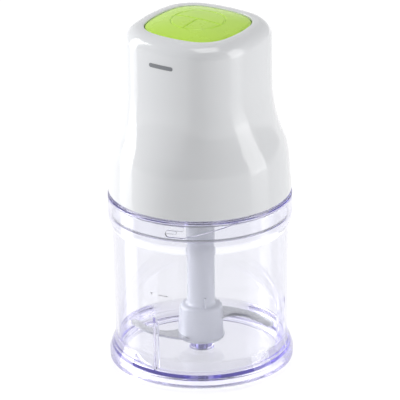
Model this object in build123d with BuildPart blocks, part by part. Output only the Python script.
from build123d import *
import os
from math import acos, cos, pi, radians, sin, sqrt, tan

# Mini chopper, in millimetres. +Z is up and the origin is the middle of the bowl's foot, on the table.
# -Y is the front, the side that carries the printed mark; the cord enters at the back, on +Y.

os.makedirs("parts", exist_ok=True)

# ---------------------------------------------------------------- driving dimensions

# bowl
foot_r = 56.0
foot_h = 6.0
wall = 2.0
floor_z = 5.0
floor_underside_z = 2.6
bowl_low_r = 52.3
bowl_high_r = 53.5
bowl_high_z = 86.5
collar_r = 56.0
collar_z = 92.5
collar_bore_r = 53.8
shelf_z = 95.0
shelf_bore_r = 51.9
rim_z = 106.8
boss_r = 6.0
boss_top_z = 8.3

# baffle ribs inside the bowl
rib_azimuths = (0, 109)
rib_inner_r = 46.6
rib_thickness = 1.8
rib_top_z = 37.0

# bayonet between bowl and lid
lug_count = 3
groove_r = 55.0
groove_floor_z = 97.7
groove_roof_z = 102.2
groove_start = 10.9
roof_end = 23.2
ramp_start = 22.5
ramp_end = 61.0
lug_start = 11.6
lug_sweep = 6.6
lug_r = 54.7
lug_low_z = 99.9
lug_high_z = 101.9

# lid
lid_flange_r = 55.8
lid_flange_low_z = 107.4
lid_flange_high_z = 108.7
lid_skirt_r = 53.5
lid_skirt_bore_r = 51.9
lid_skirt_low_z = 96.2
lid_disc_low_z = 104.6
lid_disc_high_z = 106.5
lid_hole_r = 8.9
chimney_low_z = 101.5
key_count = 3
key_half_angle = 5.0
key_inner_r = 43.0
key_outer_r = 49.0

# spindle that carries the blades
pin_r = 2.5
pin_top_z = 40.0
pin_bottom_z = 3.4
running_clearance = 0.05
bush_r = 4.5
stem_bottom_z = 8.9
hub_low_z = 11.7
hub_high_z = 33.3
hub_low_r = 14.4
hub_high_r = 13.0
column_r = 8.5
stem_top_z = 106.0
socket_r = 6.2
socket_low_z = 90.0
socket_across_flats = 7.6
blade_thickness = 1.4
blade_plate_r = 12.2
blade_hole_r = 6.0
upper_blade_z = 24.6
lower_blade_z = 14.2
blade_bearing = 33.5
step_depth = 0.6
step_middle_z = 19.6
step_slope = 0.496
step_azimuth = 170.0

# motor unit housing
housing_low_z = 109.0
housing_wall = 2.4
housing_top_z = 215.0
neck_z = 191.0
neck_side = 41.1
neck_diagonal = 44.9
shoulder_r = 9.5
flat_angle = radians(10.7)
housing_sections = (
    (housing_low_z, 55.7, 55.7),
    (118.0, 55.35, 55.35),
    (127.0, 54.65, 54.7),
    (135.0, 53.6, 53.85),
    (142.0, 51.3, 51.95),
    (149.0, 47.8, 49.2),
    (156.5, 44.6, 47.0),
    (165.0, 42.3, 45.7),
    (174.0, neck_side, neck_diagonal),
    (182.5, neck_side, neck_diagonal),
    (neck_z, neck_side, neck_diagonal),
)

# button
button_side = 28.9
button_diagonal = 32.2
button_gap = 0.5
button_low_z = 206.9
button_rim_z = 214.6
button_top_z = 218.0
button_wall = 2.0
button_crown = 1.8
button_flange = 1.9
button_flange_h = 1.5
button_flange_drop = 2.6
spring_guide_r = 4.6
spring_guide_low_z = 203.0
finger_r = 2.0
finger_low_z = 208.5
guide_low_z = 206.0
guide_wall = 1.8
groove_ring_r = 16.4
groove_width = 0.9
groove_depth = 0.6

# base cover and screws
cover_low_z = 109.3
cover_high_z = 111.8
cover_r = 52.9
cover_screw_pitch_r = 49.4
cover_boss_r = 4.0
cover_boss_h = 22.0
case_screw_pitch_r = 29.5
bearing_hub_r = 11.0
bearing_hub_low_z = 107.1
output_bearing_r = 8.0
output_bearing_low_z = 109.0
output_bearing_high_z = 113.2
key_low_z = 106.9
screw_r = 1.3
screw_head_r = 2.8
screw_head_h = 1.6
cover_screw_length = 13.0
case_screw_length = 7.0
gland_y = 48.0
gland_z = 122.0
gland_r = 5.1
gland_length = 7.8
gland_flange_h = 2.5
cord_hole_r = 3.3
post_pitch = 16.0
post_y = 44.0
post_r = 3.0
post_top_z = 125.5
clamp_screw_r = 1.1
clamp_screw_length = 8.6
clamp_thickness = 2.6

# planetary gear
module = 0.8
pressure_angle = radians(20)
sun_teeth = 15
planet_teeth = 15
ring_teeth = 45
gear_backlash = 0.12
gear_low_z = 118.0
gear_high_z = 126.0
gear_centre_r = module * (sun_teeth + planet_teeth) / 2
planet_angles = (0, 120, 240)
planet_pin_r = 1.75
ring_gear_r = 23.5
case_r = 26.0
case_flange_r = 33.0
case_flange_h = 5.4
case_hole_r = 8.5
case_high_z = 131.5
case_plate = 3.0
carrier_r = 17.0
carrier_low_z = 113.8
carrier_high_z = 117.0
spindle_r = 4.0
spindle_low_z = 96.5
spindle_hex_z = 106.8
spindle_across_flats = 6.8

# motor
shaft_r = 2.0
shaft_low_z = 117.6
shaft_high_z = 192.5
can_r = 26.0
can_wall = 1.6
motor_screw_pitch_r = 14.0
motor_screw_length = 6.6
magnet_inner_r = 20.5
magnet_low_z = 136.0
magnet_high_z = 166.0
can_high_z = 172.0
bearing_r = 6.0
bearing_h = 4.0
core_r = 19.6
core_low_z = 138.0
core_high_z = 162.0
slot_count = 7
slot_pitch_r = 13.4
slot_length = 8.4
slot_width = 5.4
winding_inner_r = 8.0
winding_outer_r = 17.8
commutator_r = 7.5
commutator_low_z = 170.0
commutator_high_z = 181.0
cap_high_z = 183.0
brush_low_z = 175.2
brush_high_z = 179.2
fan_low_z = 186.6
fan_r = 22.0
fan_hub_r = 5.0
fan_h = 5.4
fan_blades = 9

# control board behind the motor
board_y = 30.0
board_z = 160.0
board_width = 38.0
board_height = 44.0
board_thickness = 1.6

# switch deck under the button
deck_low_z = 194.0
deck_high_z = 196.0
deck_screw_pitch_r = 38.6
deck_screw_shank_r = 1.2
deck_screw_length = 12.0
deck_boss_r = 2.9
spring_wire_r = 0.5
spring_r = 6.5
spring_low_z = 196.6
spring_high_z = 211.4
switch_x = 18.0


# ---------------------------------------------------------------- shared outlines

def outline(*corners):
    """Closed line through (x, y, corner radius) triples, in the current line block."""
    points = [(x, y) for x, y, _ in corners]
    FilletPolyline(*points, radius=[radius for _, _, radius in corners], close=True)


def rounded_square(side, diagonal):
    """Eight tangent arcs: a square with gently bowed sides and round corners.

    side and diagonal are the half widths across the sides and across the corners.
    """
    gain = 1 + (sqrt(2) * sin(flat_angle) - 1) / (cos(flat_angle) - sin(flat_angle))
    side_radius = side + (diagonal - side) / gain
    side_end_x = side - side_radius * (1 - cos(flat_angle))
    side_end_y = side_radius * sin(flat_angle)
    corner = diagonal / sqrt(2)
    for quarter in range(4):
        turned = [
            Vector(x, y).rotate(Axis.Z, 90 * quarter)
            for x, y in (
                (side_end_x, -side_end_y),
                (side, 0),
                (side_end_x, side_end_y),
                (corner, corner),
                (side_end_y, side_end_x),
            )
        ]
        ThreePointArc(turned[0], turned[1], turned[2])
        ThreePointArc(turned[2], turned[3], turned[4])


def involute(angle):
    return tan(angle) - angle


def gear_outline(teeth, tip_r, root_r, thickness):
    """Involute teeth in the current line block, one tooth centred on +X."""
    pitch_r = module * teeth / 2
    base_r = pitch_r * cos(pressure_angle)
    flank_low_r = max(root_r, base_r + 0.01)
    half_pitch_angle = thickness / pitch_r / 2 + involute(pressure_angle)

    def flank(radius):
        return half_pitch_angle - involute(acos(base_r / radius))

    def at(radius, angle):
        return (radius * cos(angle), radius * sin(angle))

    steps = [flank_low_r + (tip_r - flank_low_r) * part for part in (0, 0.35, 0.7, 1)]
    for tooth in range(teeth):
        middle = 2 * pi * tooth / teeth
        following = middle + 2 * pi / teeth
        gap = middle + pi / teeth
        rising = [at(radius, middle - flank(radius)) for radius in steps]
        falling = [at(radius, middle + flank(radius)) for radius in reversed(steps)]
        foot = flank(flank_low_r)
        Spline(*rising)
        ThreePointArc(rising[-1], at(tip_r, middle), falling[0])
        Spline(*falling)
        if flank_low_r > root_r:
            Line(falling[-1], at(root_r, middle + foot))
            Line(at(root_r, following - foot), at(flank_low_r, following - foot))
        ThreePointArc(at(root_r, middle + foot), at(root_r, gap), at(root_r, following - foot))


def azimuth_plane(azimuth):
    """Plane through the axis whose X points outwards, azimuth degrees from the front towards +X."""
    return Plane(
        origin=(0, 0, 0),
        x_dir=(sin(radians(azimuth)), -cos(radians(azimuth)), 0),
        z_dir=(-cos(radians(azimuth)), -sin(radians(azimuth)), 0),
    )


def azimuth_point(radius, azimuth, z=0.0):
    """Point at a radius and an azimuth, in degrees from the front towards +X."""
    return (radius * sin(radians(azimuth)), -radius * cos(radians(azimuth)), z)


def save(piece, name):
    """Label the finished piece and write its STEP file."""
    piece.part.label = name
    export_step(piece.part, f"parts/{name}.step")


# ---------------------------------------------------------------- bowl body

# one bayonet groove: a closed slot under a roof, and a ramp that opens at the rim
groove_middle = (groove_start + ramp_end) / 2


def across(azimuth):
    """Distance along the groove's tangent plane for an azimuth on the groove's wall."""
    return groove_r * sin(radians(azimuth - groove_middle))


with BuildPart() as bayonet_groove:
    facing = azimuth_plane(groove_middle)
    with BuildSketch(Plane(origin=(0, 0, 0), x_dir=-facing.z_dir, z_dir=facing.x_dir)):
        with BuildLine():
            outline(
                (across(groove_start), groove_floor_z, 2.0),
                (across(ramp_start), groove_floor_z, 6.0),
                (across(ramp_end), rim_z, 0.0),
                (across(ramp_end), rim_z + 1.0, 0.0),
                (across(roof_end), rim_z + 1.0, 0.0),
                (across(roof_end), groove_roof_z, 0.8),
                (across(groove_start), groove_roof_z, 2.0),
            )
        make_face()
    extrude(amount=collar_r)
    Cylinder(groove_r, 2 * collar_r + 2 * rim_z, mode=Mode.INTERSECT)

with BuildPart() as bowl:
    with BuildSketch(Plane.XZ):
        with BuildLine():
            outline(
                (0, floor_underside_z, 0),
                (46.5, floor_underside_z, 0.8),
                (47.5, 0, 0.6),
                (foot_r, 0, 1.2),
                (foot_r, foot_h, 2.5),
                (bowl_low_r, 13.6, 8.0),
                (bowl_high_r, bowl_high_z, 5.0),
                (collar_r, collar_z, 5.0),
                (collar_r, rim_z, 0.6),
                (collar_bore_r, rim_z, 0.4),
                (collar_bore_r, shelf_z, 0.3),
                (shelf_bore_r, shelf_z, 0.4),
                (bowl_high_r - wall, bowl_high_z - 2, 4.0),
                (bowl_low_r - wall, floor_z, 4.5),
                (boss_r + 1.2, floor_z, 1.0),
                (boss_r, boss_top_z, 0.6),
                (0, boss_top_z, 0),
            )
        make_face()
    revolve(axis=Axis.Z)
    for azimuth in rib_azimuths:
        with BuildSketch(azimuth_plane(azimuth)):
            with BuildLine():
                outline(
                    (rib_inner_r, floor_z - 1, 0),
                    (bowl_low_r - wall / 2, floor_z - 1, 0),
                    (bowl_low_r - wall / 2, rib_top_z + 5.5, 0),
                    (rib_inner_r, rib_top_z, 1.5),
                )
            make_face()
        extrude(amount=rib_thickness / 2, both=True)
    with Locations(azimuth_point(foot_r - 4.0, 0, foot_h)):
        Cylinder(2.4, 8.4)
    with BuildSketch(Plane.XY.offset(pin_bottom_z)):
        Circle(pin_r)
    extrude(amount=boss_top_z, mode=Mode.SUBTRACT)
    with PolarLocations(0, lug_count):
        add(bayonet_groove.part, mode=Mode.SUBTRACT)
save(bowl, "bowl")

with BuildPart() as pivot_pin:
    with BuildSketch(Plane.XY.offset(pin_bottom_z)):
        Circle(pin_r)
    extrude(amount=pin_top_z - pin_bottom_z)
    fillet(pivot_pin.edges().group_by(Axis.Z)[-1], 1.2)
save(pivot_pin, "pivot_pin")

# ---------------------------------------------------------------- lid body

with BuildPart() as lid:
    with BuildSketch(Plane.XZ):
        with BuildLine():
            outline(
                (lid_hole_r, chimney_low_z, 0),
                (lid_hole_r + 2.0, chimney_low_z, 0.6),
                (lid_hole_r + 2.4, lid_disc_low_z, 0.8),
                (lid_skirt_bore_r, lid_disc_low_z, 1.0),
                (lid_skirt_bore_r, lid_skirt_low_z, 0.2),
                (lid_skirt_r, lid_skirt_low_z, 0.4),
                (lid_skirt_r, lid_flange_low_z, 0.3),
                (lid_flange_r, lid_flange_low_z, 0.4),
                (lid_flange_r, lid_flange_high_z, 0.5),
                (51.6, lid_flange_high_z, 0.5),
                (51.0, lid_disc_high_z, 0.6),
                (lid_hole_r, lid_disc_high_z, 0),
            )
        make_face()
    revolve(axis=Axis.Z)
    for third in range(lug_count):
        lug_plane = azimuth_plane(lug_start + 360 / lug_count * third)
        with BuildSketch(lug_plane):
            with Locations(((lid_skirt_r + lug_r) / 2 - 0.3, (lug_low_z + lug_high_z) / 2)):
                Rectangle(lug_r - lid_skirt_r + 0.6, lug_high_z - lug_low_z)
        revolve(axis=Axis.Z, revolution_arc=lug_sweep)
    # pairs of ribs that the base cover's keys drop between
    for third in range(key_count):
        for side in (-1, 1):
            rib_azimuth = 60 + 360 / key_count * third + side * (key_half_angle + 2.2)
            with BuildSketch(azimuth_plane(rib_azimuth)):
                with Locations(((key_inner_r + key_outer_r) / 2, (lid_disc_high_z + lid_flange_high_z - 0.6) / 2)):
                    Rectangle(key_outer_r - key_inner_r, lid_flange_high_z - lid_disc_high_z + 0.2)
            extrude(amount=0.9, both=True)
save(lid, "lid")

with BuildPart() as lid_seal:
    with BuildSketch(Plane.XZ):
        with BuildLine():
            outline(
                (lid_skirt_bore_r + 0.2, shelf_z + 0.3, 0.3),
                (lid_skirt_r - 0.1, shelf_z + 0.3, 0.3),
                (lid_skirt_r - 0.1, lid_skirt_low_z, 0),
                (lid_skirt_bore_r + 0.2, lid_skirt_low_z, 0),
            )
        make_face()
    revolve(axis=Axis.Z)
save(lid_seal, "lid_seal")

# ---------------------------------------------------------------- blade body


def blade(name, low_z, bearing):
    """One sickle blade with its root plate; bearing turns it about the axis."""
    turned = Plane.XY.offset(low_z).rotated((0, 0, bearing))
    with BuildPart() as piece:
        with BuildSketch(turned):
            with BuildLine():
                ThreePointArc((8.0, 13.6), (30.4, 3.4), (43.6, -13.9))
                ThreePointArc((43.6, -13.9), (42.7, -16.9), (40.2, -18.4))
                Spline((40.2, -18.4), (31.5, -6.9), (23.9, -1.6), (12.0, -6.1))
                Line((12.0, -6.1), (8.0, 13.6))
            make_face()
            Circle(blade_plate_r)
            Circle(blade_hole_r, mode=Mode.SUBTRACT)
        extrude(amount=blade_thickness)
        # the ground bevel runs along the hollow, leading edge
        hollow = piece.edges().group_by(Axis.Z)[-1].filter_by(GeomType.BSPLINE).sort_by(SortBy.LENGTH)[-1]
        chamfer(hollow, length=0.9, length2=2.4)
    save(piece, name)
    return piece.part


upper_blade = blade("upper_blade", upper_blade_z, blade_bearing)
lower_blade = blade("lower_blade", lower_blade_z, blade_bearing + 180)

# the hub's outer skin ends at a slanted step that climbs from the lower blade to the upper one
step_plane = Plane(
    origin=(0, 0, step_middle_z),
    z_dir=(-step_slope * sin(radians(step_azimuth)), step_slope * cos(radians(step_azimuth)), 1),
)

with BuildPart() as hub_step:
    with BuildSketch(Plane.XZ):
        with BuildLine():
            outline(
                (hub_low_r - step_depth, hub_low_z + 1.4, 0),
                (hub_low_r + 1, hub_low_z + 1.4, 0),
                (hub_low_r + 1, hub_high_z - 2, 0),
                (hub_high_r - step_depth, hub_high_z - 2, 0),
            )
        make_face()
    revolve(axis=Axis.Z)
    split(bisect_by=step_plane, keep=Keep.BOTTOM)

with BuildPart() as blade_stem:
    with BuildSketch(Plane.XZ):
        with BuildLine():
            outline(
                (bush_r, stem_bottom_z, 0),
                (boss_r + 0.4, stem_bottom_z, 0.6),
                (hub_low_r - 0.6, hub_low_z, 0.8),
                (hub_low_r, hub_low_z + 1.6, 0.8),
                (hub_high_r, hub_high_z, 2.6),
                (column_r, hub_high_z + 0.6, 2.0),
                (column_r, stem_top_z, 0.8),
                (socket_r, stem_top_z, 0),
                (socket_r, socket_low_z, 0),
                (5.0, socket_low_z, 0),
                (5.0, pin_top_z + 4, 0),
                (0, pin_top_z + 4, 0),
                (0, pin_top_z + 0.4, 0),
                (pin_r + 0.3, pin_top_z + 0.4, 0),
                (pin_r + 0.3, hub_high_z - 7, 0),
                (bush_r, hub_high_z - 7, 0),
            )
        make_face()
    revolve(axis=Axis.Z)
    # two short gussets where the column meets the hub
    for azimuth in (50, 230):
        with BuildSketch(azimuth_plane(azimuth)):
            with BuildLine():
                outline(
                    (column_r - 1, hub_high_z - 1, 0),
                    (column_r + 2.4, hub_high_z - 1, 0),
                    (column_r + 0.9, hub_high_z + 6.5, 0.4),
                    (column_r - 1, hub_high_z + 6.5, 0),
                )
            make_face()
        extrude(amount=0.7, both=True)
    add(upper_blade, mode=Mode.SUBTRACT)
    add(lower_blade, mode=Mode.SUBTRACT)
    add(hub_step.part, mode=Mode.SUBTRACT)
save(blade_stem, "blade_stem")

with BuildPart() as stem_bush:
    with BuildSketch(Plane.XY.offset(stem_bottom_z + 0.4)):
        Circle(bush_r)
        Circle(pin_r + running_clearance, mode=Mode.SUBTRACT)
    extrude(amount=hub_high_z - 7 - stem_bottom_z - 0.4)
save(stem_bush, "stem_bush")

with BuildPart() as drive_socket:
    with BuildSketch(Plane.XY.offset(socket_low_z)):
        Circle(socket_r)
    extrude(amount=stem_top_z - 0.2 - socket_low_z)
    with BuildSketch(Plane.XY.offset(socket_low_z + 2)):
        RegularPolygon(socket_across_flats / 2, 6, major_radius=False)
    extrude(amount=stem_top_z - socket_low_z, mode=Mode.SUBTRACT)
save(drive_socket, "drive_socket")

# ---------------------------------------------------------------- motor unit: casing


def screw(length, head_r=screw_head_r, shank_r=screw_r, head_h=screw_head_h):
    """Countersunk screw, head down at Z 0, shank pointing up."""
    with BuildPart() as piece:
        with BuildSketch(Plane.XZ):
            with BuildLine():
                outline(
                    (0, 0.6, 0),
                    (0.9, 0, 0),
                    (head_r, 0, 0),
                    (shank_r, head_h, 0),
                    (shank_r, length - 1, 0),
                    (0.3, length, 0),
                    (0, length, 0),
                )
            make_face()
        revolve(axis=Axis.Z)
    return piece.part


cover_screw = screw(cover_screw_length)
case_screw = screw(case_screw_length)
head_z = cover_low_z + 0.1

with BuildPart() as cover_screws:
    with Locations((0, 0, head_z)):
        with PolarLocations(cover_screw_pitch_r, 4, start_angle=45):
            add(cover_screw)
save(cover_screws, "cover_screws")

with BuildPart() as gear_case_screws:
    with Locations((0, 0, head_z)):
        with PolarLocations(case_screw_pitch_r, 3, start_angle=30):
            add(case_screw)
save(gear_case_screws, "gear_case_screws")

with BuildPart() as housing_cavity:
    for z, side, diagonal in housing_sections:
        low = z if z > housing_low_z else z - 1
        with BuildSketch(Plane.XY.offset(low)):
            with BuildLine():
                rounded_square(side - housing_wall, diagonal - housing_wall)
            make_face()
    loft()
    with BuildSketch(Plane.XY.offset(neck_z)):
        with BuildLine():
            rounded_square(neck_side - housing_wall, neck_diagonal - housing_wall)
        make_face()
    extrude(amount=housing_top_z - housing_wall - neck_z)
    fillet(housing_cavity.edges().group_by(Axis.Z)[-1], shoulder_r - housing_wall)

with BuildPart() as housing:
    for z, side, diagonal in housing_sections:
        with BuildSketch(Plane.XY.offset(z)):
            with BuildLine():
                rounded_square(side, diagonal)
            make_face()
    loft()
    with BuildSketch(Plane.XY.offset(neck_z)):
        with BuildLine():
            rounded_square(neck_side, neck_diagonal)
        make_face()
    extrude(amount=housing_top_z - neck_z)
    fillet(housing.edges().group_by(Axis.Z)[-1], shoulder_r)
    add(housing_cavity.part, mode=Mode.SUBTRACT)
    # guide collar that the button's skirt slides in
    with BuildSketch(Plane.XY.offset(guide_low_z)):
        with BuildLine():
            rounded_square(button_side + button_gap + guide_wall, button_diagonal + button_gap + guide_wall)
        make_face()
    extrude(amount=housing_top_z - 1 - guide_low_z)
    with BuildSketch(Plane.XY.offset(guide_low_z - 1)):
        with BuildLine():
            rounded_square(button_side + button_gap, button_diagonal + button_gap)
        make_face()
    extrude(amount=housing_top_z, mode=Mode.SUBTRACT)
    # bosses for the cover screws and for the switch deck screws
    with BuildSketch(Plane.XY.offset(cover_high_z)):
        with PolarLocations(cover_screw_pitch_r, 4, start_angle=45):
            Circle(cover_boss_r)
    extrude(amount=cover_boss_h)
    with BuildSketch(Plane.XY.offset(deck_high_z)):
        with PolarLocations(deck_screw_pitch_r, 4, start_angle=45):
            Circle(deck_boss_r)
    extrude(amount=housing_top_z - 3.5 - deck_high_z)
    with BuildSketch(Plane.XY.offset(cover_high_z)):
        with PolarLocations(cover_screw_pitch_r, 4, start_angle=45):
            Circle(screw_r)
    extrude(amount=cover_screw_length + 1, mode=Mode.SUBTRACT)
    with BuildSketch(Plane.XY.offset(deck_high_z)):
        with PolarLocations(deck_screw_pitch_r, 4, start_angle=45):
            Circle(deck_screw_shank_r)
    extrude(amount=deck_screw_length - 1, mode=Mode.SUBTRACT)
    with BuildSketch(Plane.XZ.offset(-collar_r - 2)):
        with Locations((0, gland_z)):
            Circle(gland_r)
    extrude(amount=10, mode=Mode.SUBTRACT)
save(housing, "housing")

with BuildPart() as base_cover:
    with BuildSketch(Plane.XZ):
        with BuildLine():
            outline(
                (spindle_r + 1.0, bearing_hub_low_z, 0),
                (bearing_hub_r, bearing_hub_low_z, 0.6),
                (bearing_hub_r + 0.4, cover_low_z, 0.5),
                (cover_r, cover_low_z, 0.4),
                (cover_r, cover_high_z, 0),
                (bearing_hub_r, cover_high_z, 0),
                (bearing_hub_r, output_bearing_high_z, 0.3),
                (output_bearing_r, output_bearing_high_z, 0),
                (output_bearing_r, output_bearing_low_z, 0),
                (spindle_r + 1.0, output_bearing_low_z, 0),
            )
        make_face()
    revolve(axis=Axis.Z)
    # keys that turn the lid with the motor unit
    for third in range(key_count):
        with BuildSketch(azimuth_plane(60 + 360 / key_count * third - key_half_angle)):
            with Locations(((key_inner_r + key_outer_r) / 2, (key_low_z + cover_low_z) / 2 + 0.2)):
                Rectangle(key_outer_r - key_inner_r, cover_low_z - key_low_z + 0.4)
        revolve(axis=Axis.Z, revolution_arc=2 * key_half_angle)
    # posts for the cord clamp
    with BuildSketch(Plane.XY.offset(cover_high_z)):
        with Locations((-post_pitch / 2, post_y), (post_pitch / 2, post_y)):
            Circle(post_r)
    extrude(amount=post_top_z - cover_high_z)
    with BuildSketch(Plane.XY.offset(post_top_z - 8)):
        with Locations((-post_pitch / 2, post_y), (post_pitch / 2, post_y)):
            Circle(clamp_screw_r)
    extrude(amount=9, mode=Mode.SUBTRACT)
    with Locations((0, 0, head_z)):
        with PolarLocations(cover_screw_pitch_r, 4, start_angle=45):
            add(cover_screw, mode=Mode.SUBTRACT)
        with PolarLocations(case_screw_pitch_r, 3, start_angle=30):
            add(case_screw, mode=Mode.SUBTRACT)
save(base_cover, "base_cover")

with BuildPart() as spindle_seal:
    with BuildSketch(Plane.XZ):
        with BuildLine():
            outline(
                (spindle_r + 0.3, bearing_hub_low_z + 0.2, 0.2),
                (spindle_r + 1.0, bearing_hub_low_z, 0),
                (spindle_r + 1.0, output_bearing_low_z, 0),
                (spindle_r + 0.6, output_bearing_low_z, 0),
            )
        make_face()
    revolve(axis=Axis.Z)
save(spindle_seal, "spindle_seal")

with BuildPart() as cord_gland:
    with BuildSketch(Plane.XZ.offset(-gland_y)):
        with Locations((0, gland_z)):
            Circle(gland_r)
    extrude(amount=-gland_length)
    with BuildSketch(Plane.XZ.offset(-gland_y)):
        with Locations((0, gland_z)):
            Circle(gland_r + 1.8)
    extrude(amount=-gland_flange_h)
    fillet(cord_gland.edges().group_by(Axis.Y)[-1], 0.6)
    with BuildSketch(Plane.XZ.offset(1 - gland_y)):
        with Locations((0, gland_z)):
            Circle(cord_hole_r)
    extrude(amount=-gland_length - 2, mode=Mode.SUBTRACT)
save(cord_gland, "cord_gland")

with BuildPart() as cord_clamp:
    with BuildSketch(Plane.XY.offset(post_top_z)):
        with Locations((0, post_y)):
            SlotCenterToCenter(post_pitch, 6.4)
        with Locations((-post_pitch / 2, post_y), (post_pitch / 2, post_y)):
            Circle(clamp_screw_r, mode=Mode.SUBTRACT)
    extrude(amount=clamp_thickness)
save(cord_clamp, "cord_clamp")

with BuildPart() as clamp_screws:
    for x in (-post_pitch / 2, post_pitch / 2):
        with Locations((x, post_y, post_top_z + clamp_thickness - clamp_screw_length)):
            Cylinder(clamp_screw_r, clamp_screw_length, align=(Align.CENTER, Align.CENTER, Align.MIN))
        with Locations((x, post_y, post_top_z + clamp_thickness)):
            Cylinder(2.2, 1.5, align=(Align.CENTER, Align.CENTER, Align.MIN))
save(clamp_screws, "clamp_screws")

# ---------------------------------------------------------------- motor unit: gear case

tooth_thickness = pi * module / 2 - gear_backlash
addendum = 0.9 * module
dedendum = 1.25 * module

with BuildPart() as gear_case:
    with BuildSketch(Plane.XZ):
        with BuildLine():
            outline(
                (ring_gear_r, cover_high_z, 0),
                (case_flange_r, cover_high_z, 0),
                (case_flange_r, cover_high_z + case_flange_h, 0.8),
                (case_r, cover_high_z + case_flange_h, 1.0),
                (case_r, case_high_z, 0.8),
                (case_hole_r, case_high_z, 0),
                (case_hole_r, case_high_z - case_plate, 0),
                (ring_gear_r, case_high_z - case_plate, 0),
            )
        make_face()
    revolve(axis=Axis.Z)
    with BuildSketch(Plane.XY.offset(case_high_z - case_plate)):
        with PolarLocations(motor_screw_pitch_r, 2, start_angle=60):
            Circle(screw_r)
    extrude(amount=case_plate, mode=Mode.SUBTRACT)
    with Locations((0, 0, head_z)):
        with PolarLocations(case_screw_pitch_r, 3, start_angle=30):
            add(case_screw, mode=Mode.SUBTRACT)
save(gear_case, "gear_case")

with BuildPart() as ring_gear:
    with BuildSketch(Plane.XY.offset(gear_low_z - 1)):
        Circle(ring_gear_r)
        with BuildLine():
            gear_outline(
                ring_teeth,
                tip_r=module * ring_teeth / 2 + dedendum,
                root_r=module * ring_teeth / 2 - 0.8 * module,
                thickness=pi * module / 2 + gear_backlash,
            )
        make_face(mode=Mode.SUBTRACT)
    extrude(amount=gear_high_z - gear_low_z + 2)
save(ring_gear, "ring_gear")

with BuildPart() as output_bearing:
    with BuildSketch(Plane.XY.offset(output_bearing_low_z)):
        Circle(output_bearing_r)
        Circle(spindle_r + running_clearance, mode=Mode.SUBTRACT)
    extrude(amount=output_bearing_high_z - output_bearing_low_z)
save(output_bearing, "output_bearing")

# ---------------------------------------------------------------- motor unit: motor stator

with BuildPart() as motor_can:
    with BuildSketch(Plane.XZ):
        with BuildLine():
            outline(
                (bearing_r, case_high_z, 0),
                (can_r, case_high_z, 1.4),
                (can_r, can_high_z, 0),
                (can_r - can_wall, can_high_z, 0),
                (can_r - can_wall, case_high_z + 2, 1.0),
                (bearing_r + 1.6, case_high_z + 2, 0),
                (bearing_r + 1.6, case_high_z + bearing_h, 0),
                (bearing_r, case_high_z + bearing_h, 0),
            )
        make_face()
    revolve(axis=Axis.Z)
    with BuildSketch(Plane.XY.offset(case_high_z)):
        with PolarLocations(motor_screw_pitch_r, 2, start_angle=60):
            Circle(screw_r)
    extrude(amount=2, mode=Mode.SUBTRACT)
save(motor_can, "motor_can")

with BuildPart() as motor_screws:
    for angle in (60, 240):
        with Locations(Vector(motor_screw_pitch_r, 0, case_high_z - case_plate - 1.3).rotate(Axis.Z, angle)):
            Cylinder(2.3, 1.3, align=(Align.CENTER, Align.CENTER, Align.MIN))
            Cylinder(screw_r, motor_screw_length, align=(Align.CENTER, Align.CENTER, Align.MIN))
save(motor_screws, "motor_screws")

with BuildPart() as magnets:
    for start in (25, 205):
        with BuildSketch(Plane.XZ.rotated((0, 0, start))):
            with BuildLine():
                outline(
                    (magnet_inner_r, magnet_low_z, 0.4),
                    (can_r - can_wall, magnet_low_z, 0.4),
                    (can_r - can_wall, magnet_high_z, 0.4),
                    (magnet_inner_r, magnet_high_z, 0.4),
                )
            make_face()
        revolve(axis=Axis.Z, revolution_arc=130)
save(magnets, "magnets")


def motor_bearing(name, low_z):
    """Plain sintered bearing for the motor shaft."""
    with BuildPart() as piece:
        with BuildSketch(Plane.XY.offset(low_z)):
            Circle(bearing_r)
            Circle(shaft_r + running_clearance, mode=Mode.SUBTRACT)
        extrude(amount=bearing_h)
    save(piece, name)


motor_bearing("lower_bearing", case_high_z)
motor_bearing("upper_bearing", cap_high_z - 1.5)

with BuildPart() as end_cap:
    with BuildSketch(Plane.XZ):
        with BuildLine():
            outline(
                (17.0, can_high_z, 0),
                (can_r, can_high_z, 0),
                (can_r, can_high_z + 2, 0.8),
                (19.0, can_high_z + 2, 0.6),
                (19.0, cap_high_z, 1.0),
                (bearing_r + 2, cap_high_z, 0.4),
                (bearing_r + 2, cap_high_z + 2.5, 0.4),
                (bearing_r, cap_high_z + 2.5, 0),
                (bearing_r, cap_high_z - 1.5, 0),
                (17.0, cap_high_z - 1.5, 0.5),
            )
        make_face()
    revolve(axis=Axis.Z)
    with BuildSketch(Plane.XY.offset(brush_low_z - 1)):
        Rectangle(44, 7)
    extrude(amount=brush_high_z - brush_low_z + 2, mode=Mode.SUBTRACT)
save(end_cap, "end_cap")

with BuildPart() as brush_holders:
    for side in (-1, 1):
        with Locations((side * 15.0, 0, (brush_low_z + brush_high_z) / 2)):
            Box(12, 7, brush_high_z - brush_low_z + 2)
            Box(12, 5, brush_high_z - brush_low_z, mode=Mode.SUBTRACT)
save(brush_holders, "brush_holders")

with BuildPart() as carbon_brushes:
    for side in (-1, 1):
        with Locations((side * 11.8, 0, (brush_low_z + brush_high_z) / 2)):
            Box(8.4, 5, brush_high_z - brush_low_z)
save(carbon_brushes, "carbon_brushes")

# ---------------------------------------------------------------- motor unit: electrics

with BuildPart() as control_board:
    with BuildSketch(Plane.XZ.offset(-board_y)):
        with Locations((0, board_z)):
            RectangleRounded(board_width, board_height, 2)
    extrude(amount=-board_thickness)
save(control_board, "control_board")

with BuildPart() as bridge_rectifier:
    with Locations((9, board_y + board_thickness, board_z - 12)):
        Box(14, 3.6, 10, align=(Align.CENTER, Align.MIN, Align.CENTER))
    fillet(bridge_rectifier.edges().filter_by(Axis.Y), 1.0)
save(bridge_rectifier, "bridge_rectifier")

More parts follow.
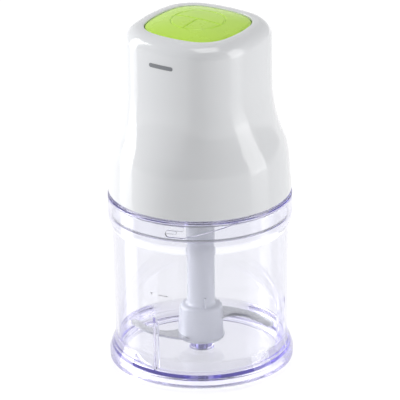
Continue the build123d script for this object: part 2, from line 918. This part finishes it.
with BuildPart() as filter_capacitor:
    with Locations((-8, board_y + board_thickness, board_z + 8)):
        Box(16, 5.4, 11, align=(Align.CENTER, Align.MIN, Align.CENTER))
    fillet(filter_capacitor.edges().filter_by(Axis.Y), 1.5)
save(filter_capacitor, "filter_capacitor")

with BuildPart() as switch_bracket:
    with BuildSketch(Plane.XY.offset(deck_low_z)):
        with BuildLine():
            rounded_square(neck_side - housing_wall - 0.5, neck_diagonal - housing_wall - 0.5)
        make_face()
        with PolarLocations(deck_screw_pitch_r, 4, start_angle=45):
            Circle(deck_screw_shank_r, mode=Mode.SUBTRACT)
        with Locations((0, 24), (0, -24)):
            SlotCenterToCenter(26, 9, mode=Mode.SUBTRACT)
    extrude(amount=deck_high_z - deck_low_z)
    with BuildSketch(Plane.XY.offset(deck_high_z)):
        Circle(9.6)
        Circle(8.0, mode=Mode.SUBTRACT)
    extrude(amount=3)
save(switch_bracket, "switch_bracket")

with BuildPart() as bracket_screws:
    for angle in (45, 135, 225, 315):
        with Locations(Vector(deck_screw_pitch_r, 0, deck_low_z - 1.4).rotate(Axis.Z, angle)):
            Cylinder(2.3, 1.4, align=(Align.CENTER, Align.CENTER, Align.MIN))
            Cylinder(deck_screw_shank_r, deck_screw_length, align=(Align.CENTER, Align.CENTER, Align.MIN))
save(bracket_screws, "bracket_screws")

with BuildPart() as microswitch:
    with Locations((switch_x, 0, deck_high_z)):
        Box(5.8, 12.8, 6.5, align=(Align.CENTER, Align.CENTER, Align.MIN))
        Cylinder(1.2, 8.3, align=(Align.CENTER, Align.CENTER, Align.MIN))
save(microswitch, "microswitch")

# ---------------------------------------------------------------- rotor body

with BuildPart() as motor_shaft:
    with BuildSketch(Plane.XY.offset(shaft_low_z)):
        Circle(shaft_r)
    extrude(amount=shaft_high_z - shaft_low_z)
save(motor_shaft, "motor_shaft")

with BuildPart() as armature_core:
    with BuildSketch(Plane.XY.offset(core_low_z)):
        Circle(core_r)
        Circle(shaft_r, mode=Mode.SUBTRACT)
        with PolarLocations(slot_pitch_r, slot_count):
            RectangleRounded(slot_length, slot_width, 1.2, mode=Mode.SUBTRACT)
        with PolarLocations(core_r - 1, slot_count):
            Rectangle(4.4, 1.8, mode=Mode.SUBTRACT)
    extrude(amount=core_high_z - core_low_z)
save(armature_core, "armature_core")

with BuildPart() as windings:
    for low, high in ((core_low_z - 1.8, core_low_z), (core_high_z, core_high_z + 5)):
        with BuildSketch(Plane.XZ):
            with BuildLine():
                outline(
                    (winding_inner_r, low, 0),
                    (winding_outer_r, low, 1.0 if low < core_low_z else 0),
                    (winding_outer_r, high, 0 if low < core_low_z else 2.4),
                    (winding_inner_r, high, 0),
                )
            make_face()
        revolve(axis=Axis.Z)
    with BuildSketch(Plane.XY.offset(core_low_z)):
        with PolarLocations(slot_pitch_r, slot_count):
            RectangleRounded(slot_length, slot_width, 1.2)
    extrude(amount=core_high_z - core_low_z)
save(windings, "windings")

with BuildPart() as commutator:
    with BuildSketch(Plane.XY.offset(commutator_low_z)):
        Circle(commutator_r)
        Circle(shaft_r, mode=Mode.SUBTRACT)
    extrude(amount=commutator_high_z - commutator_low_z)
    with BuildSketch(Plane.XY.offset(commutator_low_z + 1.5)):
        with PolarLocations(commutator_r, slot_count):
            Rectangle(1.4, 0.6)
    extrude(amount=commutator_high_z, mode=Mode.SUBTRACT)
save(commutator, "commutator")

with BuildPart() as cooling_fan:
    with BuildSketch(Plane.XY.offset(fan_low_z)):
        Circle(fan_r)
        Circle(shaft_r, mode=Mode.SUBTRACT)
    extrude(amount=1.2)
    with BuildSketch(Plane.XY.offset(fan_low_z)):
        Circle(fan_hub_r)
        Circle(shaft_r, mode=Mode.SUBTRACT)
    extrude(amount=fan_h)
    with BuildSketch(Plane.XY.offset(fan_low_z)):
        with PolarLocations(14.0, fan_blades):
            with Locations(Location((0, 0, 0), (0, 0, 25))):
                Rectangle(12.0, 1.1)
    extrude(amount=fan_h)
save(cooling_fan, "cooling_fan")

with BuildPart() as sun_gear:
    with BuildSketch(Plane.XY.offset(gear_low_z)):
        with BuildLine():
            gear_outline(
                sun_teeth,
                tip_r=module * sun_teeth / 2 + addendum,
                root_r=module * sun_teeth / 2 - dedendum,
                thickness=tooth_thickness,
            )
        make_face()
        Circle(shaft_r, mode=Mode.SUBTRACT)
    extrude(amount=gear_high_z - gear_low_z)
save(sun_gear, "sun_gear")

# ---------------------------------------------------------------- carrier body and planets

with BuildPart() as planet_carrier:
    with BuildSketch(Plane.XY.offset(carrier_low_z)):
        Circle(carrier_r)
        Circle(spindle_r, mode=Mode.SUBTRACT)
        with PolarLocations(gear_centre_r, 3):
            Circle(planet_pin_r, mode=Mode.SUBTRACT)
    extrude(amount=carrier_high_z - carrier_low_z)
save(planet_carrier, "planet_carrier")

with BuildPart() as planet_pins:
    with BuildSketch(Plane.XY.offset(carrier_low_z)):
        with PolarLocations(gear_centre_r, 3):
            Circle(planet_pin_r)
    extrude(amount=gear_high_z + 0.8 - carrier_low_z)
save(planet_pins, "planet_pins")

with BuildPart() as drive_spindle:
    with BuildSketch(Plane.XY.offset(spindle_hex_z)):
        Circle(spindle_r)
    extrude(amount=carrier_high_z - spindle_hex_z)
    with BuildSketch(Plane.XY.offset(spindle_low_z)):
        RegularPolygon(spindle_across_flats / 2, 6, major_radius=False)
    extrude(amount=spindle_hex_z - spindle_low_z)
    chamfer(drive_spindle.edges().group_by(Axis.Z)[0], 0.8)
save(drive_spindle, "drive_spindle")

for number, angle in enumerate(planet_angles, start=1):
    with BuildPart() as planet_gear:
        centre = Vector(gear_centre_r, 0, gear_low_z).rotate(Axis.Z, angle)
        with BuildSketch(Plane(origin=centre, x_dir=(cos(radians(angle)), sin(radians(angle)), 0))):
            with BuildLine():
                gear_outline(
                    planet_teeth,
                    tip_r=module * planet_teeth / 2 + addendum,
                    root_r=module * planet_teeth / 2 - dedendum,
                    thickness=tooth_thickness,
                )
            make_face()
            Circle(planet_pin_r + running_clearance, mode=Mode.SUBTRACT)
        extrude(amount=gear_high_z - gear_low_z)
    save(planet_gear, f"planet_gear_{number}")

# ---------------------------------------------------------------- button body

# the dome is a sphere cap that passes through the button's top and its corners
dome_rise = button_top_z - button_rim_z
dome_r = (button_diagonal ** 2 + dome_rise ** 2) / (2 * dome_rise)

# engraved circle with three grooves that meet in its middle, all of one depth under the dome
with BuildPart() as button_grooves:
    with BuildSketch(Plane.XY.offset(button_rim_z)):
        Circle(groove_ring_r + groove_width / 2)
        Circle(groove_ring_r - groove_width / 2, mode=Mode.SUBTRACT)
        Rectangle(2 * groove_ring_r, groove_width)
        Rectangle(groove_width, groove_ring_r, align=(Align.CENTER, Align.MAX))
    extrude(amount=button_top_z - button_rim_z + 1)
    with Locations((0, 0, button_top_z - dome_r)):
        Sphere(dome_r - groove_depth, mode=Mode.SUBTRACT)

with BuildPart() as button:
    with BuildSketch(Plane.XY.offset(button_low_z)):
        with BuildLine():
            rounded_square(button_side, button_diagonal)
        make_face()
    extrude(amount=button_top_z - button_low_z)
    with Locations((0, 0, button_top_z - dome_r)):
        Sphere(dome_r, mode=Mode.INTERSECT)
    fillet(button.edges().filter_by(lambda edge: edge.center().Z > button_rim_z - 1), 1.0)
    with BuildSketch(Plane.XY.offset(button_low_z - button_flange_drop)):
        with BuildLine():
            rounded_square(button_side + button_flange, button_diagonal + button_flange)
        make_face()
    extrude(amount=button_flange_h)
    with BuildSketch(Plane.XY.offset(button_low_z - button_flange_drop)):
        with BuildLine():
            rounded_square(button_side, button_diagonal)
        make_face()
    extrude(amount=button_flange_drop + 0.2)
    with BuildSketch(Plane.XY.offset(button_low_z - button_flange_drop - 1)):
        with BuildLine():
            rounded_square(button_side - button_wall, button_diagonal - button_wall)
        make_face()
    hollow_h = button_rim_z - button_crown - button_low_z + button_flange_drop + 1
    extrude(amount=hollow_h, mode=Mode.SUBTRACT)
    # spring guide and switch finger under the top
    with BuildSketch(Plane.XY.offset(spring_guide_low_z)):
        Circle(spring_guide_r)
    extrude(amount=button_rim_z - spring_guide_low_z)
    with BuildSketch(Plane.XY.offset(finger_low_z)):
        with Locations((switch_x, 0)):
            Circle(finger_r)
    extrude(amount=button_rim_z - finger_low_z)
    add(button_grooves.part, mode=Mode.SUBTRACT)
save(button, "button")

with BuildPart() as return_spring:
    with BuildLine():
        coil = Helix(pitch=(spring_high_z - spring_low_z) / 6, height=spring_high_z - spring_low_z,
                     radius=spring_r, center=(0, 0, spring_low_z))
    with BuildSketch(Plane(origin=coil @ 0, z_dir=coil % 0)):
        Circle(spring_wire_r)
    sweep()
save(return_spring, "return_spring")
